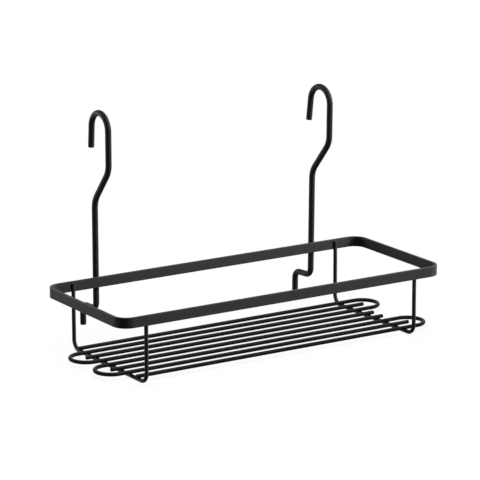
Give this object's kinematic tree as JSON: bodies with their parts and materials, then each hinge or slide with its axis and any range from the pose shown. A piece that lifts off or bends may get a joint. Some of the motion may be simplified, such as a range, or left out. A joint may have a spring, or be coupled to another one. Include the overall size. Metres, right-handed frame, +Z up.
{
  "type": "hanging spice rack",
  "caption": "Black wire spice rack with a strip rim over an open wire floor, tall hooks that hang on a kitchen rail and bent feet that rest against the wall.",
  "frame": {"origin": "bottom centre of the whole rack's box: on the table that the leg frames stand on, midway along the rim, and midway between the rim's front and the wall", "axes": "+X along the rim to the right, +Y from the room to the wall, +Z up"},
  "size_m": [0.3, 0.1463, 0.1926],
  "materials": {
    "black_coat": "satin black powder coat on steel"
  },
  "bodies": {
    "root": {"rim_band": "black_coat", "left_leg_frame": "black_coat", "right_leg_frame": "black_coat", "rear_right_hairpin": "black_coat", "rear_left_hairpin": "black_coat", "front_left_hairpin": "black_coat", "front_right_hairpin": "black_coat", "left_hook": "black_coat", "right_hook": "black_coat"}
  },
  "joints": []
}
